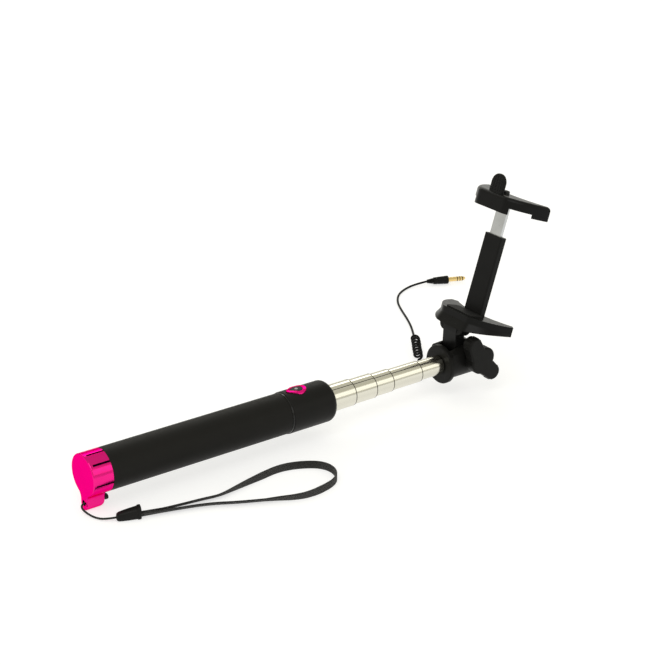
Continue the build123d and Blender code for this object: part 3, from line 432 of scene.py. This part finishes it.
BLACK = (0.008, 0.0078, 0.0072)
JAW_BLACK = (0.0060, 0.0060, 0.0060)
HEAD_BLACK = (0.0070, 0.0069, 0.0064)
RUBBER_BLACK = (0.010, 0.010, 0.010)
PINK = (0.87, 0.018, 0.245)
PLATING = {"metal": 1.0, "tint": (0.95, 0.30, 0.50), "mottle": 0.06, "grain": 900}
SOFT_TOUCH = {"mottle": 0.10, "grain": 5200}
# Painted shade for the grooves of the pink cap.
GROOVE_PAINTED_SHADE = (0.012, 0.0, 0.008)
finishes = {
    "grip": surface("soft_touch", (0.0110, 0.0107, 0.0097), 0.50, bump=0.22, edge=0.0004, **SOFT_TOUCH),
    "collar": surface("collar_matte", (0.0100, 0.0098, 0.0090), 0.42, bump=0.18, **SOFT_TOUCH),
    "gloss_black": surface("gloss_black", BLACK, 0.22, coat=0.3, bump=0.05),
    "pink_plated": surface("pink_plated", PINK, 0.20, bump=0.05, **PLATING),
    "pink_bezel": surface("pink_bezel", PINK, 0.20, bump=0.04, **PLATING),
    "aluminium_tube": surface("aluminium_tube", (0.62, 0.62, 0.63), 0.35, metal=1.0, stretch=(0.05, 1, 1)),
    "white_plastic": surface("white_plastic", (0.70, 0.69, 0.65), 0.45),
    "board": surface("board_green", (0.012, 0.10, 0.035), 0.4),
    "switch_case": surface("switch_case", (0.03, 0.03, 0.03), 0.5),
    "dome_metal": surface("dome_metal", (0.65, 0.64, 0.6), 0.3, metal=1.0),
    "button_rubber": surface("button_rubber", RUBBER_BLACK, 0.34, grain=2600, bump=0.12),
    "grey_mark": surface("grey_mark", (0.40, 0.39, 0.40), 0.42, mottle=0.08),
    "head_plastic": surface("head_plastic", HEAD_BLACK, 0.40, grain=2800, bump=0.30, edge=0.0007),
    "zinc_steel": surface("zinc_steel", (0.55, 0.56, 0.57), 0.30, metal=1.0),
    "cable_rubber": surface("cable_rubber", (0.006, 0.006, 0.006), 0.46, grain=2500, bump=0.12, edge=0.0),
    "plug_plastic": surface("plug_plastic", (0.007, 0.007, 0.007), 0.40, grain=2500, bump=0.2),
    "gold_pin": surface("gold_pin", (0.83, 0.62, 0.27), 0.18, metal=1.0, mottle=0.04, bump=0.05),
    "ring_plastic": surface("ring_plastic", (0.012, 0.012, 0.012), 0.4),
    "knob_plastic": surface("knob_plastic", HEAD_BLACK, 0.42, grain=2600, bump=0.32, edge=0.0006),
    "brass_insert": surface("brass_insert", (0.70, 0.53, 0.24), 0.35, metal=1.0),
    "jaw_plastic": surface("jaw_plastic", JAW_BLACK, 0.30, grain=2400, bump=0.25, edge=0.0007, gloss=0.12),
    "pad_rubber": surface("pad_rubber", (0.014, 0.014, 0.014), 0.62, grain=2600, bump=0.3),
    "rail_plastic": surface("rail_plastic", (0.008, 0.008, 0.008), 0.42, grain=2600, bump=0.25),
    "black_steel": surface("black_steel", (0.05, 0.05, 0.05), 0.36, metal=1.0, mottle=0.1),
    "spring_steel": surface("spring_steel", (0.6, 0.6, 0.58), 0.28, metal=1.0),
    "bush_nylon": surface("bush_nylon", (0.72, 0.70, 0.64), 0.5),
    "toggle_plastic": surface("toggle_plastic", RUBBER_BLACK, 0.42, grain=2600, bump=0.3, edge=0.0004),
    "strap_webbing": woven("strap_webbing", (0.010, 0.0100, 0.0095), 1500.0, 9.0, 0.8),
    "strap_cord": woven("strap_cord", (0.010, 0.0100, 0.0095), 900.0, 6.0, 0.7),
}
for letter in "abcde":
    finishes["tube_" + letter] = chrome_tube("chrome_" + letter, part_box("tube_" + letter)[1][0])
# Painted shade in the grooves of the pink cap.
paint_groove_shade(finishes["pink_plated"], (CAP_R - 0.12) * MM, GROOVE_PAINTED_SHADE)


def dress_nodes():
    """Every CAD node gets a finish: its own if there is one, or else its material slot's."""
    for row in frame["record"]["subparts"]:
        own = {"button_bezel": "pink_bezel"}.get(row["node"], row["node"])
        node = frame["nodes"][row["node"]]
        node.data.materials.clear()
        node.data.materials.append(finishes[own if own in finishes else row["material_slot"]])


dress_nodes()


def dress(piece, slot):
    """A new piece gets the finish named by its slot."""
    piece.data.materials.append(finishes[slot])
    return piece


# --- Lead -----------------------------------------------------------------------------------------
BOOT_RIBS = 4
PLUG_RELIEF_LENGTH = 5.0


def make_lead():
    """Gland boot, the one continuous lead with its curly part, and the moulded plug."""
    route = LEAD_IN + [(COIL_START.x, COIL_START.y, LEAD_H)] + coil_points()
    route += [(COIL_END.x, COIL_END.y, LEAD_H)] + LEAD_OUT
    lead = dress(spline_curve("jack_lead", route, CABLE_R), "cable_rubber")
    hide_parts("cable_lead", "cable_coil", "cable_tube")
    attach(lead, "head")

    boot_profile = [(0, 2.2), (0.25, 2.6), (1.2, 2.65)]
    for k in range(BOOT_RIBS):
        start = 1.5 + k * 1.05
        rib = 2.45 - 0.27 * k
        boot_profile += [(start, rib - 0.45), (start + 0.3, rib - 0.45)]
        boot_profile += [(start + 0.4, rib), (start + 0.9, rib)]
    boot_profile += [(5.75, 1.2), (5.9, 0.95)]
    gland_base = Vector((GLAND_X, 0, AXIS_H)) + GLAND_WAY * GLAND_BASE
    boot = dress(lathe("gland_boot", boot_profile, gland_base, GLAND_WAY), "cable_rubber")
    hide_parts("cable_gland")
    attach(boot, "head")

    relief = [(0, 0.95), (0.15, 1.3)]
    ring_out, ring_in = 0.08, -0.35
    for k in range(BOOT_RIBS):
        start = 0.3 + 1.15 * k
        rib = 1.45 + 0.2 * k
        relief += [(start, rib), (start + 0.6, rib + ring_out)]
        relief += [(start + 0.65, rib + ring_in), (start + 1.05, rib - 0.3)]
    relief += [(4.95, 2.1)]
    boot_of_plug = dress(lathe("plug_boot", relief, PLUG_START, PLUG_WAY), "cable_rubber")
    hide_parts("plug_relief")
    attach(boot_of_plug, "head")

    body = [(0, 2.0), (0.12, 2.4), (0.5, 2.6), (3.0, 2.75), (3.2, 2.62), (3.6, 2.62), (3.8, 2.8)]
    body += [(8.0, 3.0), (8.2, 2.85), (8.6, 2.85), (8.8, 3.05), (11.4, 3.14), (11.85, 3.0), (12.0, 2.5)]
    shell_start = PLUG_START + PLUG_WAY * PLUG_RELIEF_LENGTH
    shell = dress(lathe("plug_shell", body, shell_start, PLUG_WAY, 56), "plug_plastic")
    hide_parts("plug_body")
    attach(shell, "head")


make_lead()


# --- Wrist strap ----------------------------------------------------------------------------------
def make_string():
    """Thin braided string from its knot behind the lug to the toggle."""
    string = dress(spline_curve("strap_string_cord", STRING_ROUTE, STRING_R), "strap_cord")
    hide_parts("strap_string")
    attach(string, "handle")
    return string


def make_knot():
    """Stopper knot: three tight turns of the string round itself."""
    turns, per_turn = 3, 12
    radius, length, thickness = 1.25, 1.8, 0.6
    start = BUTT_X + 14.2 - length / 2
    points = []
    for k in range(turns * per_turn + 1):
        angle = 2 * pi * k / per_turn
        along = start + length * k / (turns * per_turn)
        points.append((along, radius * cos(angle), EYE_Z + radius * sin(angle)))
    knot = dress(spline_curve("string_knot_turns", points, thickness), "strap_cord")
    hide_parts("string_knot")
    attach(knot, "handle")
    return knot


def make_toggle():
    """Tapered clamp, taller at its tail, with a ridge down one side and a flared, hollow mouth."""
    stations = [
        (0.0, 2.4, 2.6), (0.35, 3.7, 4.0), (1.2, 4.3, 4.9), (3.5, 4.8, 5.7),
        (7.0, 5.3, 6.4), (10.6, 5.8, 6.9), (11.9, 5.9, 7.1), (12.1, 6.4, 7.8),
        (13.6, 6.5, 8.0), (14.0, 6.0, 7.5), (14.0, 4.2, 5.9), (12.0, 3.8, 5.5),
    ]
    nose_level, tail_height, ridge_height = 2.45, 8.0, 0.3
    tail_level = tail_height / 2 + FLOOR_GAP
    vertices = []
    for distance, width, height in stations:
        level = nose_level + (tail_level - nose_level) * distance / TOGGLE_LENGTH
        for across, up in rounded_section(width, height, min(width, height) * 0.30):
            ridged = 1.0 < distance < 12.0 and across > 0 and -0.5 < up < height / 2 - 1.0
            bulge = ridge_height if ridged else 0.0
            spot = TOGGLE_NOSE + TOGGLE_WAY * distance - TOGGLE_ASIDE * (across + bulge)
            vertices.append(Vector((spot.x, spot.y, max(level + up, FLOOR_GAP))) * MM)
    faces = tube_faces(len(stations), len(vertices) // len(stations))
    toggle = dress(mesh_piece("toggle_clamp", vertices, faces), "toggle_plastic")
    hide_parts("strap_toggle")
    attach(toggle, "handle")
    return toggle


BAND_LEAN, LEAN_AT_MOUTH, LEAN_GROWS_OVER, LEAN_FADES_OVER = radians(50), 0.75, 0.06, 0.035
UPRIGHT_FROM_FAR, UPRIGHT_FROM_NEAR = 0.085, 0.110


def make_band():
    """Flat woven ribbon on edge, leaning over where its two strands run side by side; distances in metres."""
    line = centreline(BAND_ROUTE)
    walked = [0.0]
    for a, b in zip(line, line[1:]):
        walked.append(walked[-1] + (b - a).length)
    total = walked[-1]
    outline = rounded_section(BAND_T, BAND_WIDTH, 0.3, 3)
    vertices, path = [], []
    for i, (spot, gone) in enumerate(zip(line, walked)):
        ahead, behind = line[min(i + 1, len(line) - 1)], line[max(i - 1, 0)]
        way = (ahead - behind).normalized()
        aside = Vector((way.y, -way.x, 0))
        side = -1 if gone < total / 2 else 1
        from_mouth = min(gone, total - gone)
        upright_from = UPRIGHT_FROM_FAR if side == -1 else UPRIGHT_FROM_NEAR
        grown = min(1.0, LEAN_AT_MOUTH + from_mouth / LEAN_GROWS_OVER)
        lean = BAND_LEAN * grown * min(1.0, max(0.0, (upright_from - from_mouth) / LEAN_FADES_OVER))
        up = Vector((0, 0, cos(lean))) - aside * sin(lean) * side
        across = aside * cos(lean) + Vector((0, 0, sin(lean))) * side
        level = BAND_WIDTH / 2 * cos(lean) + BAND_T / 2 * sin(lean) + FLOOR_GAP
        centre = Vector((spot.x, spot.y, level * MM))
        path.append(tuple(centre))
        for a, b in outline:
            vertices.append(centre + across * a * MM + up * b * MM)
    count = len(outline)
    band = mesh_piece("strap_ribbon", vertices, tube_faces(len(line), count))
    layer = band.data.uv_layers.new(name="weave")
    for loop in band.data.loops:
        ring, k = divmod(loop.vertex_index, count)
        layer.data[loop.index].uv = (walked[ring], outline[k][1] / BAND_WIDTH + 0.5)
    dress(band, "strap_webbing")
    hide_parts("strap_band")
    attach(band, "handle")
    return band, path


def make_strap():
    """The string, its knot, the toggle and the band."""
    toggle = make_toggle()
    make_string()
    make_knot()
    band, path = make_band()


make_strap()


# --- Floor and light ------------------------------------------------------------------------------
LIGHT_TARGET = Vector((0, 0, 0.03))


def make_stage():
    """A wide pale floor, a little bright of its own."""
    half = 6.0
    corners = [(-half, -half, 0), (half, -half, 0), (half, half, 0), (-half, half, 0)]
    floor = mesh_piece("floor", corners, [(0, 1, 2, 3)])
    paper = bpy.data.materials.new("paper")
    paper.use_nodes = True
    shader = paper.node_tree.nodes["Principled BSDF"]
    shader.inputs["Base Color"].default_value = (0.50, 0.50, 0.50, 1)
    shader.inputs["Roughness"].default_value = 1.0
    shader.inputs["Specular IOR Level"].default_value = 0.0
    shader.inputs["Emission Color"].default_value = (1.0, 1.0, 1.0, 1)
    shader.inputs["Emission Strength"].default_value = 0.62
    floor.data.materials.append(paper)


def make_light(name, at, size, power):
    """One soft rectangular light that looks at the middle of the stick."""
    data = bpy.data.lights.new(name, "AREA")
    data.shape = "RECTANGLE"
    data.size, data.size_y = size
    data.energy = power
    lamp = bpy.data.objects.new(name, data)
    bpy.context.scene.collection.objects.link(lamp)
    lamp.location = at
    lamp.rotation_euler = (LIGHT_TARGET - Vector(at)).to_track_quat("-Z", "Y").to_euler()


def make_room():
    """The room's own warm light, with a darker band above the horizon for bright metal to show."""
    world = bpy.data.worlds.new("room")
    bpy.context.scene.world = world
    world.use_nodes = True
    nodes, links = world.node_tree.nodes, world.node_tree.links
    split = nodes.new("ShaderNodeSeparateXYZ")
    links.new(nodes.new("ShaderNodeTexCoord").outputs["Generated"], split.inputs[0])
    ramp = nodes.new("ShaderNodeValToRGB")
    steps = (
        (0.0, (0.95, 0.94, 0.90)),
        (0.12, (0.88, 0.86, 0.76)),
        (0.34, (0.96, 0.94, 0.80)),
        (0.41, (0.66, 0.64, 0.50)),
        (0.48, (0.98, 0.96, 0.84)),
        (0.70, (0.80, 0.78, 0.66)),
        (1.0, (0.84, 0.83, 0.78)),
    )
    elements = ramp.color_ramp.elements
    while len(elements) < len(steps):
        elements.new(0.5)
    for element, (height, colour) in zip(elements, steps):
        element.position = height
        element.color = (*colour, 1)
    links.new(split.outputs["Z"], ramp.inputs["Fac"])
    background = nodes["Background"]
    links.new(ramp.outputs["Color"], background.inputs["Color"])
    background.inputs["Strength"].default_value = 0.8


make_stage()
make_room()
make_light("key", (-0.9, -0.7, 1.5), (1.2, 0.9), 9)
make_light("fill", (0.9, -1.3, 0.8), (1.0, 0.8), 2)
make_light("rim", (0.5, 1.3, 1.0), (1.4, 0.5), 4)

bpy.context.scene.view_settings.view_transform = "Standard"
